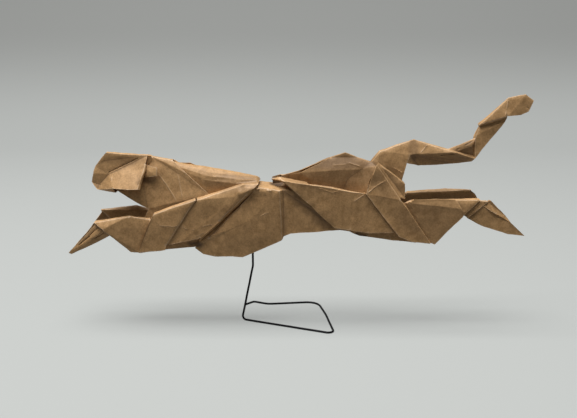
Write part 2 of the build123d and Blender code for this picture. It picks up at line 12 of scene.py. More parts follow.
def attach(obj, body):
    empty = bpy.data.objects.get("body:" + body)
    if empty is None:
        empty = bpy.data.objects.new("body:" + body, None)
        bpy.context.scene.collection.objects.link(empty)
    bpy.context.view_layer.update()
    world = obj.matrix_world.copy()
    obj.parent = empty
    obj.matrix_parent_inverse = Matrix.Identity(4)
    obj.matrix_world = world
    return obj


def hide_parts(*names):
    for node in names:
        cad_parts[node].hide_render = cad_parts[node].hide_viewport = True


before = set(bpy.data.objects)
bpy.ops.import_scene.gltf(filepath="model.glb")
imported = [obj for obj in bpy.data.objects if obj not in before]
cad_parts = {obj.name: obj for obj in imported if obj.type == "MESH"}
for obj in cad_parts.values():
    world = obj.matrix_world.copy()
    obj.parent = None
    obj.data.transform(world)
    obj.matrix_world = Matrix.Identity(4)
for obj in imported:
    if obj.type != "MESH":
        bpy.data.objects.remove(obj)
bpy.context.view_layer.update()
scene = bpy.context.scene
scene.view_settings.view_transform = "Standard"


# Wire stand: one length of black annealed steel wire, bent by hand with pliers.
# It lies on the table as an open loop, then goes up, kinks, and ends between the belly flaps.
wire_black = (0.003, 0.003, 0.0035, 1.0)
wire_worn = (0.012, 0.012, 0.013, 1.0)

# In metres: how thick the wire is, how high its middle lies over the table, the X of its upright,
# and the Y of its upright, which is also the middle plane of the animal.
wire_thickness = 0.00097
wire_middle = 0.00045
upright_x = -0.020334
mid_plane = -0.00358

# Points from the free end of the loop to the top of the upright, each with the radius of its bend, in metres.
wire_route = [
    ((-0.025034, 0.01582, wire_middle), 0.0),
    ((-0.021334, 0.01992, wire_middle), 0.0016),
    ((-0.014134, 0.01642, wire_middle), 0.0080),
    ((0.010366, 0.01940, wire_middle), 0.0062),
    ((0.013900, 0.00100, wire_middle), 0.0800),
    ((0.016466, -0.02118, wire_middle), 0.0024),
    ((-0.025734, mid_plane, wire_middle), 0.0018),
    ((upright_x, mid_plane, 0.02660), 0.0050),
    ((upright_x, mid_plane, 0.06775), 0.0),
]

black_wire = bpy.data.materials.new("black_wire")
black_wire.use_nodes = True
nodes = black_wire.node_tree.nodes
links = black_wire.node_tree.links
wire_surface = nodes["Principled BSDF"]
wire_surface.inputs["Specular IOR Level"].default_value = 0.12
place = nodes.new("ShaderNodeTexCoord")
scale_marks = nodes.new("ShaderNodeTexNoise")
scale_marks.inputs["Scale"].default_value = 900.0
scale_marks.inputs["Detail"].default_value = 4.0
links.new(place.outputs["Object"], scale_marks.inputs["Vector"])
wire_tone = nodes.new("ShaderNodeValToRGB")
wire_tone.color_ramp.elements[0].position = 0.35
wire_tone.color_ramp.elements[0].color = wire_black
wire_tone.color_ramp.elements[1].position = 0.72
wire_tone.color_ramp.elements[1].color = wire_worn
links.new(scale_marks.outputs["Fac"], wire_tone.inputs["Fac"])
links.new(wire_tone.outputs["Color"], wire_surface.inputs["Base Color"])
wire_gloss = nodes.new("ShaderNodeMapRange")
wire_gloss.inputs["To Min"].default_value = 0.34
wire_gloss.inputs["To Max"].default_value = 0.58
links.new(scale_marks.outputs["Fac"], wire_gloss.inputs["Value"])
links.new(wire_gloss.outputs["Result"], wire_surface.inputs["Roughness"])
wire_dents = nodes.new("ShaderNodeBump")
wire_dents.inputs["Strength"].default_value = 0.25
wire_dents.inputs["Distance"].default_value = 0.00004
links.new(scale_marks.outputs["Fac"], wire_dents.inputs["Height"])
links.new(wire_dents.outputs["Normal"], wire_surface.inputs["Normal"])

route_mesh = bpy.data.meshes.new("wire_route")
route_points = [point for point, _ in wire_route]
route_runs = [(i, i + 1) for i in range(len(wire_route) - 1)]
route_mesh.from_pydata(route_points, route_runs, [])
bend_radius = route_mesh.attributes.new("bend_radius", "FLOAT", "POINT")
for item, (_, radius) in zip(bend_radius.data, wire_route):
    item.value = radius
wire_stand = bpy.data.objects.new("bent_wire", route_mesh)
scene.collection.objects.link(wire_stand)

bending = bpy.data.node_groups.new("bent_wire_tube", "GeometryNodeTree")
bending.interface.new_socket("Route", in_out="INPUT", socket_type="NodeSocketGeometry")
bending.interface.new_socket("Thickness", in_out="INPUT", socket_type="NodeSocketFloat")
bending.interface.new_socket("Hand Waver", in_out="INPUT", socket_type="NodeSocketFloat")
bending.interface.new_socket("Seed", in_out="INPUT", socket_type="NodeSocketFloat")
bending.interface.new_socket("Tube", in_out="OUTPUT", socket_type="NodeSocketGeometry")
nodes = bending.nodes
links = bending.links
given = nodes.new("NodeGroupInput")
made = nodes.new("NodeGroupOutput")
line = nodes.new("GeometryNodeMeshToCurve")
links.new(given.outputs["Route"], line.inputs["Mesh"])
radius_at = nodes.new("GeometryNodeInputNamedAttribute")
radius_at.data_type = "FLOAT"
radius_at.inputs["Name"].default_value = "bend_radius"
round_bends = nodes.new("GeometryNodeFilletCurve")
round_bends.mode = "POLY"
round_bends.inputs["Count"].default_value = 10
round_bends.inputs["Limit Radius"].default_value = True
links.new(line.outputs["Curve"], round_bends.inputs["Curve"])
links.new(radius_at.outputs["Attribute"], round_bends.inputs["Radius"])
even = nodes.new("GeometryNodeResampleCurve")
even.mode = "LENGTH"
even.inputs["Length"].default_value = 0.0005
links.new(round_bends.outputs["Curve"], even.inputs["Curve"])
where = nodes.new("GeometryNodeInputPosition")
waver = nodes.new("ShaderNodeTexNoise")
waver.noise_dimensions = "4D"
waver.inputs["Scale"].default_value = 90.0
waver.inputs["Detail"].default_value = 1.0
links.new(where.outputs["Position"], waver.inputs["Vector"])
links.new(given.outputs["Seed"], waver.inputs["W"])
centred = nodes.new("ShaderNodeVectorMath")
centred.operation = "SUBTRACT"
centred.inputs[1].default_value = (0.5, 0.5, 0.5)
links.new(waver.outputs["Color"], centred.inputs[0])
flat_only = nodes.new("ShaderNodeVectorMath")
flat_only.operation = "MULTIPLY"
flat_only.inputs[1].default_value = (1.0, 1.0, 0.0)
links.new(centred.outputs["Vector"], flat_only.inputs[0])
by_hand = nodes.new("ShaderNodeVectorMath")
by_hand.operation = "SCALE"
links.new(flat_only.outputs["Vector"], by_hand.inputs[0])
links.new(given.outputs["Hand Waver"], by_hand.inputs["Scale"])
wavered = nodes.new("GeometryNodeSetPosition")
links.new(even.outputs["Curve"], wavered.inputs["Geometry"])
links.new(by_hand.outputs["Vector"], wavered.inputs["Offset"])
half_thickness = nodes.new("ShaderNodeMath")
half_thickness.operation = "MULTIPLY"
half_thickness.inputs[1].default_value = 0.5
links.new(given.outputs["Thickness"], half_thickness.inputs[0])
ring = nodes.new("GeometryNodeCurvePrimitiveCircle")
ring.inputs["Resolution"].default_value = 16
links.new(half_thickness.outputs["Value"], ring.inputs["Radius"])
tube = nodes.new("GeometryNodeCurveToMesh")
tube.inputs["Fill Caps"].default_value = True
links.new(wavered.outputs["Geometry"], tube.inputs["Curve"])
links.new(ring.outputs["Curve"], tube.inputs["Profile Curve"])
plain = nodes.new("GeometryNodeRealizeInstances")
links.new(tube.outputs["Mesh"], plain.inputs["Geometry"])
finish = nodes.new("GeometryNodeSetMaterial")
finish.inputs["Material"].default_value = black_wire
links.new(plain.outputs["Geometry"], finish.inputs["Geometry"])
links.new(finish.outputs["Geometry"], made.inputs["Tube"])


def set_input(modifier, name, value):
    """Sets one named input of a node tree on its modifier."""
    for item in modifier.node_group.interface.items_tree:
        if item.name == name and item.in_out == "INPUT":
            modifier[item.identifier] = value


def made_plain(thing):
    """Turns a piece and its modifiers into a plain mesh."""
    drawn = thing.evaluated_get(bpy.context.evaluated_depsgraph_get())
    mesh = bpy.data.meshes.new_from_object(drawn)
    thing.modifiers.clear()
    thing.data = mesh


bend = wire_stand.modifiers.new("bend", "NODES")
bend.node_group = bending
set_input(bend, "Thickness", wire_thickness)
set_input(bend, "Hand Waver", 0.00035)
set_input(bend, "Seed", 3.0)
made_plain(wire_stand)
shape = bmesh.new()
shape.from_mesh(wire_stand.data)
bmesh.ops.recalc_face_normals(shape, faces=shape.faces)
for face in shape.faces:
    face.smooth = len(face.verts) == 4
shape.to_mesh(wire_stand.data)
shape.free()
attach(wire_stand, "root")
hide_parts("wire_stand")


# Cheetah: one square of thin brown kraft paper, folded, pleated and tucked without a cut.
# Its folds are pressed by hand, so they are a little round, rubbed pale along the edge and never quite flat.
# The pale edges also carry a painted highlight, and valleys, grooves and gaps carry painted shade.
# It rests on the top of the wire, between its belly flaps, with nothing else to hold it.
kraft_dark = (0.390, 0.220, 0.088, 1.0)
kraft_pale = (0.620, 0.370, 0.168, 1.0)
bark_brown = (0.30, 0.17, 0.08, 1.0)
rubbed_highlit_kraft = (0.80, 0.60, 0.40, 1.0)
shade_brown = (0.10, 0.055, 0.026, 1.0)

# Spacing of points in a panel and along an edge, and how far the row beside an edge lies from it, in metres.
# Rows of even triangles lie a share of a step apart.
panel_step = 0.0014
edge_step = 0.0009
edge_row = 0.00028
triangle_row = 0.866

# A facet narrower than this is the rim of a panel and not the panel itself, in metres.
panel_breadth = 0.0010

# A fold is pressed round within a reach and up to a depth, both in metres. The depth is a share of the reach
# times the tangent of half the turn, and the turn counts up to a limit in radians.
soft_reach = 0.0015
soft_depth = 0.00028
soft_share = 0.35
steepest_turn = 2.4

# Turns from facet to facet. From the first two, a steep or a level edge is rubbed pale and given a painted
# highlight. From the next two, a valley is given painted shade. From the fifth, an edge has a row of points
# beside it. From the last, it is drawn sharp.
pressed_turn = math.radians(22)
rolled_turn = math.radians(36)
valley_turn = math.radians(14)
shallow_turn = math.radians(7)
rowed_turn = math.radians(6)
sharp_turn = math.radians(38)

# The mark on the sheet is 1 where it is rubbed pale with a painted highlight, and below nought where painted
# shade lies on it.
# The shares are for an edge on the rim of a panel, an edge between two rims, and the row beside an edge.
pale_wear_and_highlight = 1.0
painted_valley_shade = -1.0
painted_shallow_shade = -0.5
rim_share = 0.75
rim_pair_share = 0.3
beside_share = 0.35

# Creases left by small folds, the same on both flanks: height, then X and Z of the points, all in mm.
creases = [
    (0.2, [(-85.2, 75.4), (-83.8, 70.7), (-83.3, 69.5)]),
    (0.12, [(-82.5, 69.2), (-81.8, 66.8), (-81.2, 64.0)]),
    (-0.3, [(-82.8, 70.6), (-69.9, 76.9)]),
    (0.12, [(-60.8, 69.2), (-54.1, 59.6)]),
    (0.12, [(-53.9, 73.8), (-52.6, 68.1), (-51.0, 61.2)]),
    (0.09, [
        (-60.5, 48.0), (-54.8, 47.6), (-51.7, 48.2), (-47.9, 45.7),
        (-45.3, 46.2), (-41.4, 47.8), (-36.3, 48.9),
    ]),
    (0.08, [(-44.9, 42.8), (-41.5, 44.6)]),
    (-0.4, [(-88.8, 46.3), (-100.5, 34.9)]),
    (-0.4, [(-85.7, 44.3), (-100.2, 34.6)]),
    (0.18, [(-23.5, 62.9), (-20.4, 64.3), (-17.8, 63.8)]),
    (0.18, [(-22.1, 65.0), (-19.5, 64.9), (-16.4, 66.0)]),
    (0.16, [(-20.8, 61.4), (-17.3, 64.1), (-15.1, 64.3)]),
    (0.16, [(-15.1, 64.2), (-12.1, 63.2), (-9.0, 63.5)]),
    (0.1, [(-15.4, 52.7), (-13.7, 53.5)]),
    (0.08, [(-22.2, 50.0), (-20.7, 50.3)]),
    (0.1, [(9.4, 64.3), (15.1, 62.4), (18.0, 63.4)]),
    (0.12, [(24.8, 59.1), (28.7, 61.5)]),
    (0.16, [(14.0, 76.7), (17.9, 75.6), (23.0, 74.4), (28.4, 72.7)]),
    (0.1, [(16.8, 73.5), (21.6, 73.9)]),
    (0.14, [(30.0, 62.1), (33.9, 65.4), (37.9, 67.5)]),
    (-0.16, [(49.6, 55.4), (53.3, 49.6), (57.0, 43.1)]),
    (0.12, [(69.0, 58.9), (70.9, 55.6), (72.6, 54.5)]),
    (0.14, [(80.8, 56.2), (87.1, 53.0), (91.2, 50.9), (93.3, 48.8)]),
    (0.14, [(40.5, 77.4), (46.5, 74.9)]),
    (0.12, [(42.2, 72.6), (46.0, 70.6)]),
    (-0.35, [(50.7, 83.7), (49.7, 78.6), (48.2, 74.4)]),
    (0.12, [(54.1, 79.2), (57.1, 82.7)]),
    (-0.22, [(50.6, 76.6), (58.3, 77.6), (67.9, 78.4)]),
    (-0.22, [(69.3, 79.9), (77.4, 84.5)]),
    (-0.22, [(71.7, 79.6), (77.3, 82.8)]),
    (0.14, [(91.5, 102.7), (90.4, 96.0)]),
    (-0.16, [(98.3, 103.8), (97.1, 101.4), (100.3, 98.5)]),
]

# Rows of points across a crease: shift in mm and share of the height. The sections of a crease lie a step
# apart and keep some room to the facet's outline, in mm. A raised crease is rubbed pale with a painted
# highlight, and a sunken one, a groove, is given painted shade, both growing with its height up to a limit.
# The rays that find the outermost facet start beyond the flank, at this distance from the middle in metres.
crease_rows = [(0.0, 1.0), (-0.2, 0.3), (0.2, 0.3), (-0.42, 0.0), (0.42, 0.0)]
crease_step = 0.5
crease_room = 0.57
mark_per_mm = 4
crease_mark_limit = 0.8
beyond_flank = 0.05

# Places where the sheet stands off further than a flat panel would: X, Z, reach along both, push, all in mm.
# The last five are crumples on the saddle. Sheet within a gap from the middle of the animal stays where it is,
# and beyond that gap the push fades in, in mm.
swells = [
    (-75.0, 62.5, 15.0, 12.0, 1.6),
    (17.0, 75.5, 26.0, 11.0, 1.1),
    (36.0, 73.0, 8.0, 9.0, 1.0),
    (-63.5, 71.0, 5.5, 5.0, 0.9),
    (-24.4, 62.6, 2.8, 2.0, 1.1),
    (-21.6, 63.8, 2.6, 2.0, 1.3),
    (-19.0, 64.4, 2.6, 2.0, 1.3),
    (-16.4, 63.4, 2.6, 2.0, 0.7),
    (-13.6, 63.0, 2.8, 2.0, 0.5),
]
middle_gap = 0.6
middle_fade = 2.4

# The corner of the cheek flap and the tip of the paw are drawn forward: X, Z, reach along both, pull, in mm.
drawn_corners = [
    (-68.0, 63.0, 10.0, 12.0, 1.1),
    (-102.5, 34.3, 14.0, 10.0, 1.1),
]

# The one piece of the tail that leans towards the near side: X, Z, reach along both, push, all in mm.
tail_lean = (72.0, 84.5, 9.0, 6.0, 1.5)

# The far hock is tucked down behind the near one: X, Z, reach along both, push, all in mm.
far_tuck = (84.6, 56.6, 4.2, 3.6, 2.4)

# The open pocket behind the top fold of the thigh: X and Z of both ends, then depth, in mm.
# Its floor is sunk within a height of that line and inside the outer wall, and less towards its ends.
thigh_pocket = (4.0, 66.4, 31.0, 61.8, 5.5)
pocket_height = 4.0
pocket_wall = 7.6
pocket_fade = 2.0
front_slope = 4
back_slope = 6

# Patches of painted shade: shadows cast under the ear tab and the thigh's front edge, panels darkened where
# less light falls, and dark gaps between layers, which have the largest amounts: X, Z and reach along both in
# mm, then how much.
# A patch is whole in its middle and fades towards its rim. It darkens the sheet down to a limit, or to its own
# amount where that is more.
painted_shade_patches = [
    (15.0, 70.0, 24.0, 8.0, 0.52),
    (40.0, 66.5, 9.0, 8.0, 0.40),
    (60.0, 52.0, 20.0, 12.0, 0.35),
    (-28.0, 66.0, 15.0, 4.0, 0.45),
    (73.0, 80.5, 7.0, 5.0, 0.45),
    (64.0, 76.5, 14.0, 3.5, 0.50),
    (51.0, 80.5, 2.5, 6.0, 0.60),
    (-77.0, 75.6, 12.0, 2.6, 0.35),
    (17.0, 76.5, 24.0, 5.5, 0.50),
    (-65.5, 67.3, 4.5, 1.8, 0.80),
    (-45.6, 38.9, 4.0, 1.3, 1.40),
    (-9.0, 65.7, 4.2, 1.5, 1.50),
    (27.5, 43.3, 4.5, 1.3, 1.50),
    (-3.6, 61.8, 3.4, 3.4, 0.60),
    (0.6, 58.3, 3.4, 3.4, 0.60),
    (4.8, 54.8, 3.4, 3.4, 0.60),
    (9.0, 51.2, 3.4, 3.4, 0.60),
    (13.0, 47.8, 3.2, 3.2, 0.60),
]
painted_shade_limit = 1.0
patch_slope = 2

# Slips of the inner layer close the gap between cheek and neck and the slot in front of the thigh:
# X and distance from the middle of four corners, then the lowest and highest Z, all in mm, and the painted
# shade.
# The slip in the slot is painted dark as shade.
slips = [
    ([(-69.0, 2.1), (-69.0, 1.8), (-64.3, 1.45), (-64.3, 1.75)], 71.0, 77.3, 0.0),
    ([(-11.0, 0.5), (-11.0, 0.2), (-5.0, 0.2), (-5.0, 0.5)], 64.4, 66.9, -1.5),
]
slip_faces = [(0, 1, 5, 4), (1, 2, 6, 5), (2, 3, 7, 6), (3, 0, 4, 7), (3, 2, 1, 0), (4, 5, 6, 7)]

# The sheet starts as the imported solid, with its loose triangles joined into flat facets again.
same_point = 2e-6
same_plane = math.radians(0.05)
sheet = bmesh.new()
sheet.from_mesh(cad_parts["folded_cheetah"].data)
bmesh.ops.remove_doubles(sheet, verts=sheet.verts, dist=same_point)
bmesh.ops.dissolve_limit(sheet, angle_limit=same_plane, verts=sheet.verts, edges=sheet.edges)
sheet.edges.index_update()
sheet.faces.index_update()
as_folded = BVHTree.FromBMesh(sheet)


def breadth(face):
    """How wide a facet is at its narrowest, about."""
    return 4 * face.calc_area() / face.calc_perimeter()


def clearance(spots, outline):
    """How far flat points lie inside an outline, less than nothing outside it."""
    run = np.roll(outline, -1, axis=0) - outline
    ahead = spots[:, None, :] - outline
    share = np.clip((ahead * run).sum(2) / (run * run).sum(1), 0, 1)
    off = np.linalg.norm(ahead - share[:, :, None] * run, axis=2).min(axis=1)
    above = ahead[:, :, 1] < 0
    crossed = above != np.roll(above, -1, axis=1)
    rise = np.where(run[:, 1] == 0, 1, run[:, 1])
    left = ahead[:, :, 0] < ahead[:, :, 1] / rise * run[:, 0]
    within = (crossed & left).sum(axis=1) % 2 == 1
    return np.where(within, off, -off)


def laid_flat(spots, origin, across, up):
    """Points of a facet in its own plane, in mm."""
    return np.array([((spot - origin).dot(across) * 1000, (spot - origin).dot(up) * 1000) for spot in spots])


def steps_along(line):
    """Each step of a crease, in mm: its X and Z, how far its run goes along both, and the run's length."""
    for (x0, z0), (x1, z1) in zip(line, line[1:]):
        length = math.hypot(x1 - x0, z1 - z0)
        count = math.ceil(length / crease_step)
        for i in range(count + 1):
            yield x0 + (x1 - x0) * i / count, z0 + (z1 - z0) * i / count, x1 - x0, z1 - z0, length


def nearness(point, x, z, wide, tall):
    """How near a point lies to the middle of an oval: 1 there, and 0 on its rim and outside it."""
    return max(0.0, 1 - ((point.x * 1000 - x) / wide) ** 2 - ((point.z * 1000 - z) / tall) ** 2)


# Every edge is cut into short steps, and marked pale, rubbed and with a painted highlight, where it stands
# out, or with painted shade where it is a valley.
points = [vert.co.copy() for vert in sheet.verts]
wear_and_painted_light = [0.0] * len(points)
lifts = [Vector()] * len(points)
chains = []
turns = []
marks = []
fold_points = []
for edge in sheet.edges:
    first, last = edge.verts
    turn = edge.calc_face_angle(0)
    narrowest, widest = sorted(breadth(face) for face in edge.link_faces)
    run = last.co - first.co
    lies_level = abs(run.z) < 0.5 * abs(run.x)
    pale_turn = rolled_turn if lies_level else pressed_turn
    mark = 0.0
    if edge.is_convex and turn > pale_turn:
        mark = pale_wear_and_highlight
    elif not edge.is_convex and turn > valley_turn:
        mark = painted_valley_shade
    elif not edge.is_convex and turn > shallow_turn and narrowest > 1.5 * panel_breadth:
        mark = painted_shallow_shade
    if widest < 2 * panel_breadth:
        mark = min(0.0, rim_pair_share * mark)
    elif narrowest < panel_breadth:
        mark = rim_share * mark
    count = math.ceil(run.length / edge_step)
    chain = [first.index]
    for i in range(1, count):
        chain.append(len(points))
        points.append(first.co + run * (i / count))
        wear_and_painted_light.append(mark)
        lifts.append(Vector())
    chain.append(last.index)
    chains.append(chain)
    turns.append(turn)
    marks.append(mark)
    for end in (first.index, last.index):
        if abs(mark) > abs(wear_and_painted_light[end]):
            wear_and_painted_light[end] = mark
    if mark == pale_wear_and_highlight:
        inward = -sum((face.normal for face in edge.link_faces), Vector()).normalized()
        depth = min(soft_depth, soft_share * soft_reach * math.tan(min(turn, steepest_turn) / 2))
        fold_points.extend((points[i], inward * depth, edge.index) for i in chain)

# Each crease is laid on the outermost facet of both flanks as a row of raised or sunken points.
crease_sections = {}
for height, line in creases:
    # Raised creases are marked pale with a painted highlight, sunken ones with painted shade.
    mark = max(-crease_mark_limit, min(crease_mark_limit, mark_per_mm * height))
    for side in (-1, 1):
        for x, z, along_x, along_z, length in steps_along(line):
            section = []
            facets = set()
            for shift, share in crease_rows:
                row_x = x - shift * along_z / length
                row_z = z + shift * along_x / length
                start = Vector((row_x / 1000, mid_plane + side * beyond_flank, row_z / 1000))
                hit, normal, facet, _ = as_folded.ray_cast(start, Vector((0, -side, 0)))
                facets.add(facet)
                if hit is not None:
                    section.append((hit, normal * height * share / 1000, share * mark))
            if len(facets) == 1 and section:
                crease_sections.setdefault(facets.pop(), []).append(section)

# Each facet is filled with evenly spread points and cut into small triangles.
inside_only = 1
merge_gap = 1e-6
step = panel_step * 1000
cut_faces = []
for face in sheet.faces:
    longest = max(face.edges, key=lambda edge: edge.calc_length())
    across = (longest.verts[1].co - longest.verts[0].co).normalized()
    up = face.normal.cross(across)
    origin = face.verts[0].co
    plane = (origin, across, up)
    outline = laid_flat([vert.co for vert in face.verts], *plane)
    ring = []
    inner = []
    for loop in face.loops:
        chain = chains[loop.edge.index]
        if loop.vert.index != chain[0]:
            chain = chain[::-1]
        ring.extend(chain[:-1])
        if turns[loop.edge.index] > rowed_turn and breadth(face) > panel_breadth:
            run = (loop.link_loop_next.vert.co - loop.vert.co).normalized()
            beside = face.normal.cross(run) * edge_row
            # The row beside a valley carries some of its painted shade.
            shade = min(0.0, beside_share * marks[loop.edge.index])
            inner.extend((points[i] + beside, Vector(), shade) for i in chain[1:-1])

    # Points of a row that come too near another edge are left out, and so are crease sections near an edge.
    kept = []
    if inner:
        room = clearance(laid_flat([item[0] for item in inner], *plane), outline)
        kept = [item for item, gap in zip(inner, room) if gap > 0.9 * edge_row * 1000]
    for section in crease_sections.get(face.index, []):
        if clearance(laid_flat([section[0][0]], *plane), outline)[0] > crease_room:
            kept.extend(section)

    # The grid fills the room that the rows and creases leave.
    taken = laid_flat([item[0] for item in kept], *plane)
    (left, low), (right, high) = outline.min(axis=0), outline.max(axis=0)
    grid = [
        (left + step * (column + 0.5 * (row % 2)), low + step * triangle_row * row)
        for row in range(1, int((high - low) / step / triangle_row) + 1)
        for column in range(int((right - left) / step) + 1)
    ]
    if grid:
        room = clearance(np.array(grid), outline)
        for a, b in [spot for spot, gap in zip(grid, room) if gap > 0.5 * step]:
            if not len(taken) or np.hypot(*(taken - (a, b)).T).min() > 0.5 * step:
                kept.append((origin + (across * a + up * b) / 1000, Vector(), 0.0))

    ids = ring + list(range(len(points), len(points) + len(kept)))
    for point, lift, mark in kept:
        points.append(point)
        lifts.append(lift)
        wear_and_painted_light.append(mark)
    spots = [Vector(spot) for spot in laid_flat([points[i] for i in ids], *plane)]
    _, _, cut, origins, _, _ = delaunay_2d_cdt(spots, [], [list(range(len(ring)))], inside_only, merge_gap)
    cut_faces.extend([ids[origins[corner][0]] for corner in piece] for piece in cut)
sheet.free()

# The slips are thin boxes, one on each side of the middle.
for plan, low, high, slip_shade in slips:
    for side in (-1, 1):
        base = len(points)
        for z in (low, high):
            points.extend(Vector((x / 1000, mid_plane + side * aside / 1000, z / 1000)) for x, aside in plan)
        wear_and_painted_light.extend([slip_shade] * 2 * len(plan))
        lifts.extend([Vector()] * 2 * len(plan))
        cut_faces.extend([base + corner for corner in face[::side]] for face in slip_faces)

# Folds are pushed in a little to make them round, swells are pushed out, corners are drawn forward,
# the tail, the far hock and the pocket's floor are moved, and creases are raised.
fold_tree = KDTree(len(fold_points))
for i, (point, _, _) in enumerate(fold_points):
    fold_tree.insert(point, i)
fold_tree.balance()
pressed = []
for point, lift in zip(points, lifts):
    pushes = {}
    for _, i, gap in fold_tree.find_range(point, soft_reach):
        _, push, fold = fold_points[i]
        weight = (1 - gap / soft_reach) ** 2
        if weight > pushes.get(fold, (0, None))[0]:
            pushes[fold] = (weight, push)
    push = sum((part * weight for weight, part in pushes.values()), Vector())
    if push.length > soft_depth:
        push = push.normalized() * soft_depth
    aside = point.y - mid_plane
    clear_of_middle = min(1.0, max(0.0, abs(aside) * 1000 - middle_gap) / middle_fade)
    for *oval, out in swells:
        swell = out / 1000 * nearness(point, *oval) ** 2 * clear_of_middle
        push = push + Vector((0, math.copysign(swell, aside), 0))
    for *oval, pull in drawn_corners:
        push = push - Vector((pull / 1000 * nearness(point, *oval) ** 2, 0, 0))
    *oval, out = tail_lean
    push = push - Vector((0, out / 1000 * nearness(point, *oval) ** 2, 0))
    if aside > 0:
        *oval, down = far_tuck
        push = push - Vector((0, 0, down / 1000 * nearness(point, *oval) ** 2))
    x0, z0, x1, z1, deep = thigh_pocket
    share = (point.x * 1000 - x0) / (x1 - x0)
    rise = (point.z * 1000 - z0 - (z1 - z0) * share) / pocket_height
    if 0 < share < 1 and abs(rise) < 1:
        behind = min(1.0, max(0.0, pocket_wall - abs(aside) * 1000) / pocket_fade)
        ends = min(1.0, front_slope * share, back_slope - back_slope * share)
        push = push - Vector((0, 0, deep / 1000 * (1 - rise ** 2) * behind * ends))
    pressed.append(point + push + lift)
# The patches lay painted shade on the sheet.
for i, point in enumerate(points):
    for *oval, amount in painted_shade_patches:
        near = nearness(point, *oval)
        if near > 0:
            wear_and_painted_light[i] = max(-max(painted_shade_limit, amount), wear_and_painted_light[i] - amount * min(1.0, patch_slope * near))

paper_mesh = bpy.data.meshes.new("folded_paper")
paper_mesh.from_pydata(pressed, [], cut_faces)
fold_wear_and_painted_light = paper_mesh.attributes.new("fold_wear_and_painted_light", "FLOAT", "POINT")
fold_wear_and_painted_light.data.foreach_set("value", wear_and_painted_light)
shape = bmesh.new()
shape.from_mesh(paper_mesh)
for face in shape.faces:
    face.smooth = True
for edge in shape.edges:
    edge.smooth = edge.calc_face_angle(0) < sharp_turn
shape.to_mesh(paper_mesh)
shape.free()
cheetah = bpy.data.objects.new("folded_paper", paper_mesh)
scene.collection.objects.link(cheetah)

kraft_paper = bpy.data.materials.new("kraft_paper")
kraft_paper.use_nodes = True
nodes = kraft_paper.node_tree.nodes
links = kraft_paper.node_tree.links
paper_surface = nodes["Principled BSDF"]
paper_surface.inputs["Specular IOR Level"].default_value = 0.42
place = nodes.new("ShaderNodeTexCoord")
pulp = nodes.new("ShaderNodeTexNoise")
pulp.inputs["Scale"].default_value = 1300.0
pulp.inputs["Detail"].default_value = 4.0
pulp.inputs["Roughness"].default_value = 0.65
links.new(place.outputs["Object"], pulp.inputs["Vector"])
tone = nodes.new("ShaderNodeValToRGB")
tone.color_ramp.elements[0].position = 0.33
tone.color_ramp.elements[0].color = kraft_dark
tone.color_ramp.elements[1].position = 0.67
tone.color_ramp.elements[1].color = kraft_pale
clouds = nodes.new("ShaderNodeTexNoise")
clouds.inputs["Scale"].default_value = 330.0
clouds.inputs["Detail"].default_value = 3.0
clouds.inputs["Roughness"].default_value = 0.6
links.new(place.outputs["Object"], clouds.inputs["Vector"])
mottle = nodes.new("ShaderNodeMix")
mottle.data_type = "FLOAT"
mottle.inputs["Factor"].default_value = 0.5
links.new(pulp.outputs["Fac"], mottle.inputs["A"])
links.new(clouds.outputs["Fac"], mottle.inputs["B"])
spread = nodes.new("ShaderNodeMapRange")
spread.inputs["From Min"].default_value = 0.38
spread.inputs["From Max"].default_value = 0.62
spread.inputs["To Min"].default_value = 0.33
spread.inputs["To Max"].default_value = 0.67
links.new(mottle.outputs["Result"], spread.inputs["Value"])
links.new(spread.outputs["Result"], tone.inputs["Fac"])

# Bits of bark in the pulp show as small dark dots.
bark = nodes.new("ShaderNodeTexVoronoi")
bark.inputs["Scale"].default_value = 800.0
links.new(place.outputs["Object"], bark.inputs["Vector"])
dots = nodes.new("ShaderNodeMapRange")
dots.inputs["From Min"].default_value = 0.10
dots.inputs["From Max"].default_value = 0.22
dots.inputs["To Min"].default_value = 0.40
dots.inputs["To Max"].default_value = 0.0
links.new(bark.outputs["Distance"], dots.inputs["Value"])
dotted = nodes.new("ShaderNodeMix")
dotted.data_type = "RGBA"
dotted.inputs["B"].default_value = bark_brown
links.new(dots.outputs["Result"], dotted.inputs["Factor"])
links.new(tone.outputs["Color"], dotted.inputs["A"])

# Folds and creases are rubbed pale on the outside and carry a painted highlight there; valleys, grooves, gaps
# and shaded patches carry painted shade.
wear_and_light_marks = nodes.new("ShaderNodeAttribute")
wear_and_light_marks.attribute_name = "fold_wear_and_painted_light"
patchy = nodes.new("ShaderNodeMapRange")
patchy.inputs["From Min"].default_value = 0.35
patchy.inputs["From Max"].default_value = 0.65
patchy.inputs["To Min"].default_value = 0.45
patchy.inputs["To Max"].default_value = 0.95
links.new(pulp.outputs["Fac"], patchy.inputs["Value"])
rubbing_and_highlight = nodes.new("ShaderNodeMath")
rubbing_and_highlight.operation = "MULTIPLY"
rubbing_and_highlight.use_clamp = True
links.new(wear_and_light_marks.outputs["Fac"], rubbing_and_highlight.inputs[0])
links.new(patchy.outputs["Result"], rubbing_and_highlight.inputs[1])
rubbed_pale_and_highlit = nodes.new("ShaderNodeMix")
rubbed_pale_and_highlit.data_type = "RGBA"
rubbed_pale_and_highlit.inputs["B"].default_value = rubbed_highlit_kraft
links.new(rubbing_and_highlight.outputs["Value"], rubbed_pale_and_highlit.inputs["Factor"])
links.new(dotted.outputs["Result"], rubbed_pale_and_highlit.inputs["A"])
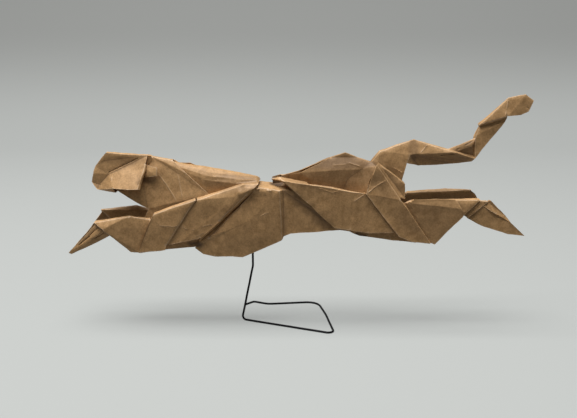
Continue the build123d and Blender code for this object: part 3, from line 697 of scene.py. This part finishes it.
# Painted shade: valleys, grooves, gaps between layers and shaded patches are darkened towards shade brown.
painted_shade_share = nodes.new("ShaderNodeMath")
painted_shade_share.operation = "MULTIPLY"
painted_shade_share.use_clamp = True
painted_shade_share.inputs[1].default_value = -0.65
links.new(wear_and_light_marks.outputs["Fac"], painted_shade_share.inputs[0])
painted_shade_mix = nodes.new("ShaderNodeMix")
painted_shade_mix.data_type = "RGBA"
painted_shade_mix.inputs["B"].default_value = shade_brown
links.new(painted_shade_share.outputs["Value"], painted_shade_mix.inputs["Factor"])
links.new(rubbed_pale_and_highlit.outputs["Result"], painted_shade_mix.inputs["A"])
links.new(painted_shade_mix.outputs["Result"], paper_surface.inputs["Base Color"])

gloss = nodes.new("ShaderNodeMapRange")
gloss.inputs["To Min"].default_value = 0.46
gloss.inputs["To Max"].default_value = 0.66
links.new(pulp.outputs["Fac"], gloss.inputs["Value"])
links.new(gloss.outputs["Result"], paper_surface.inputs["Roughness"])
fibres = nodes.new("ShaderNodeTexNoise")
fibres.inputs["Scale"].default_value = 700.0
fibres.inputs["Detail"].default_value = 5.0
fibres.inputs["Roughness"].default_value = 0.6
links.new(place.outputs["Object"], fibres.inputs["Vector"])
grain = nodes.new("ShaderNodeBump")
grain.inputs["Strength"].default_value = 0.55
grain.inputs["Distance"].default_value = 0.00012
links.new(fibres.outputs["Fac"], grain.inputs["Height"])
links.new(grain.outputs["Normal"], paper_surface.inputs["Normal"])

# Handling leaves the panels slightly waved, both faces of the sheet alike.
crinkling = bpy.data.node_groups.new("handled_paper", "GeometryNodeTree")
crinkling.interface.new_socket("Paper", in_out="INPUT", socket_type="NodeSocketGeometry")
crinkling.interface.new_socket("Wave Density", in_out="INPUT", socket_type="NodeSocketFloat")
crinkling.interface.new_socket("Wave Height", in_out="INPUT", socket_type="NodeSocketFloat")
crinkling.interface.new_socket("Seed", in_out="INPUT", socket_type="NodeSocketFloat")
crinkling.interface.new_socket("Waved", in_out="OUTPUT", socket_type="NodeSocketGeometry")
nodes = crinkling.nodes
links = crinkling.links
given = nodes.new("NodeGroupInput")
made = nodes.new("NodeGroupOutput")
where = nodes.new("GeometryNodeInputPosition")
waves = nodes.new("ShaderNodeTexNoise")
waves.noise_dimensions = "4D"
waves.inputs["Detail"].default_value = 3.0
waves.inputs["Roughness"].default_value = 0.55
links.new(where.outputs["Position"], waves.inputs["Vector"])
links.new(given.outputs["Seed"], waves.inputs["W"])
links.new(given.outputs["Wave Density"], waves.inputs["Scale"])
centred = nodes.new("ShaderNodeVectorMath")
centred.operation = "SUBTRACT"
centred.inputs[1].default_value = (0.5, 0.5, 0.5)
links.new(waves.outputs["Color"], centred.inputs[0])
wave_shift = nodes.new("ShaderNodeVectorMath")
wave_shift.operation = "SCALE"
links.new(centred.outputs["Vector"], wave_shift.inputs[0])
links.new(given.outputs["Wave Height"], wave_shift.inputs["Scale"])
waved = nodes.new("GeometryNodeSetPosition")
links.new(given.outputs["Paper"], waved.inputs["Geometry"])
links.new(wave_shift.outputs["Vector"], waved.inputs["Offset"])
plain = nodes.new("GeometryNodeRealizeInstances")
links.new(waved.outputs["Geometry"], plain.inputs["Geometry"])
finish = nodes.new("GeometryNodeSetMaterial")
finish.inputs["Material"].default_value = kraft_paper
links.new(plain.outputs["Geometry"], finish.inputs["Geometry"])
links.new(finish.outputs["Geometry"], made.inputs["Waved"])
handling = cheetah.modifiers.new("handling", "NODES")
handling.node_group = crinkling
set_input(handling, "Wave Density", 95.0)
set_input(handling, "Wave Height", 0.0012)
set_input(handling, "Seed", 5.0)
made_plain(cheetah)

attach(cheetah, "root")
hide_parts("folded_cheetah")


# Studio: one sheet of pale paper, level under the stand and swept up in a curve behind it.
# It isn't part of the object. The camera sees it paler than the lamp alone makes it, and darker higher up.
floor_front = -0.9
sweep_start = 0.55
sweep_radius = 0.35
sweep_steps = 16
wall_height = 1.6
half_width = 2.0
sweep_unseen = (0.17, 0.17, 0.165, 1.0)
sweep_seen = (0.192, 0.199, 0.193, 1.0)
glow_low = (0.338, 0.349, 0.339, 1.0)
glow_high = (0.208, 0.211, 0.204, 1.0)
no_glow = (0.0, 0.0, 0.0, 1.0)
profile = [(floor_front, 0.0), (sweep_start, 0.0)]
for i in range(1, sweep_steps + 1):
    turn = math.radians(90) * i / sweep_steps
    profile.append((sweep_start + sweep_radius * math.sin(turn), sweep_radius * (1 - math.cos(turn))))
profile.append((sweep_start + sweep_radius, wall_height))
corners = [(x, y, z) for y, z in profile for x in (-half_width, half_width)]
strips = [(2 * i, 2 * i + 1, 2 * i + 3, 2 * i + 2) for i in range(len(profile) - 1)]
sweep_mesh = bpy.data.meshes.new("paper_sweep")
sweep_mesh.from_pydata(corners, [], strips)
for face in sweep_mesh.polygons:
    face.use_smooth = True
sweep = bpy.data.objects.new("paper_sweep", sweep_mesh)
scene.collection.objects.link(sweep)
sweep_grey = bpy.data.materials.new("sweep_grey")
sweep_grey.use_nodes = True
nodes = sweep_grey.node_tree.nodes
links = sweep_grey.node_tree.links
sweep_surface = nodes["Principled BSDF"]
sweep_surface.inputs["Roughness"].default_value = 0.8
sweep_surface.inputs["Specular IOR Level"].default_value = 0.1
seen = nodes.new("ShaderNodeLightPath")
seen_or_mirrored = nodes.new("ShaderNodeMath")
seen_or_mirrored.operation = "MAXIMUM"
links.new(seen.outputs["Is Camera Ray"], seen_or_mirrored.inputs[0])
links.new(seen.outputs["Is Glossy Ray"], seen_or_mirrored.inputs[1])
pale = nodes.new("ShaderNodeMix")
pale.data_type = "RGBA"
pale.inputs["A"].default_value = sweep_unseen
pale.inputs["B"].default_value = sweep_seen
links.new(seen_or_mirrored.outputs["Value"], pale.inputs["Factor"])
links.new(pale.outputs["Result"], sweep_surface.inputs["Base Color"])
place = nodes.new("ShaderNodeTexCoord")
above_floor = nodes.new("ShaderNodeSeparateXYZ")
links.new(place.outputs["Object"], above_floor.inputs["Vector"])
fall_off = nodes.new("ShaderNodeMapRange")
fall_off.interpolation_type = "SMOOTHSTEP"
fall_off.inputs["From Min"].default_value = 0.0
fall_off.inputs["From Max"].default_value = 0.15
links.new(above_floor.outputs["Z"], fall_off.inputs["Value"])
back_tone = nodes.new("ShaderNodeMix")
back_tone.data_type = "RGBA"
back_tone.inputs["A"].default_value = glow_low
back_tone.inputs["B"].default_value = glow_high
links.new(fall_off.outputs["Result"], back_tone.inputs["Factor"])
glow = nodes.new("ShaderNodeMix")
glow.data_type = "RGBA"
glow.inputs["A"].default_value = no_glow
links.new(back_tone.outputs["Result"], glow.inputs["B"])
links.new(seen_or_mirrored.outputs["Value"], glow.inputs["Factor"])
links.new(glow.outputs["Result"], sweep_surface.inputs["Emission Color"])
sweep_surface.inputs["Emission Strength"].default_value = 1.0
sweep.data.materials.append(sweep_grey)


# Light: one broad soft lamp overhead, a little to the left and towards the camera.
# The world adds a weak even fill, and is paler where the camera sees it.
fill_tone = (0.069, 0.067, 0.061, 1.0)
backdrop_tone = (0.33, 0.335, 0.33, 1.0)
lamp = bpy.data.lights.new("overhead_softbox", "AREA")
lamp.shape = "RECTANGLE"
lamp.size = 0.8
lamp.size_y = 0.55
lamp.energy = 14.0
softbox = bpy.data.objects.new("overhead_softbox", lamp)
softbox.location = (-0.16, -0.09, 0.93)
softbox.rotation_euler = (math.radians(-6), math.radians(-8), 0.0)
scene.collection.objects.link(softbox)
world = bpy.data.worlds.new("studio_fill")
world.use_nodes = True
nodes = world.node_tree.nodes
links = world.node_tree.links
seen = nodes.new("ShaderNodeLightPath")
backdrop = nodes.new("ShaderNodeMix")
backdrop.data_type = "RGBA"
backdrop.inputs["A"].default_value = fill_tone
backdrop.inputs["B"].default_value = backdrop_tone
links.new(seen.outputs["Is Camera Ray"], backdrop.inputs["Factor"])
links.new(backdrop.outputs["Result"], nodes["Background"].inputs["Color"])
scene.world = world


# Camera: square to the animal's flank, a little higher than the tip of the tail.
# It looks 13 degrees down, with the whole object in its frame.
camera_data = bpy.data.cameras.new("flank_camera")
camera_data.lens = 45.0
camera_data.sensor_width = 36.0
camera_data.sensor_fit = "HORIZONTAL"
camera_data.clip_start = 0.01
camera = bpy.data.objects.new("flank_camera", camera_data)
camera.location = (-0.00403, -0.3203, 0.1263)
camera.rotation_euler = (math.radians(90.0 - 13.0), 0.0, 0.0)
scene.collection.objects.link(camera)
scene.camera = camera
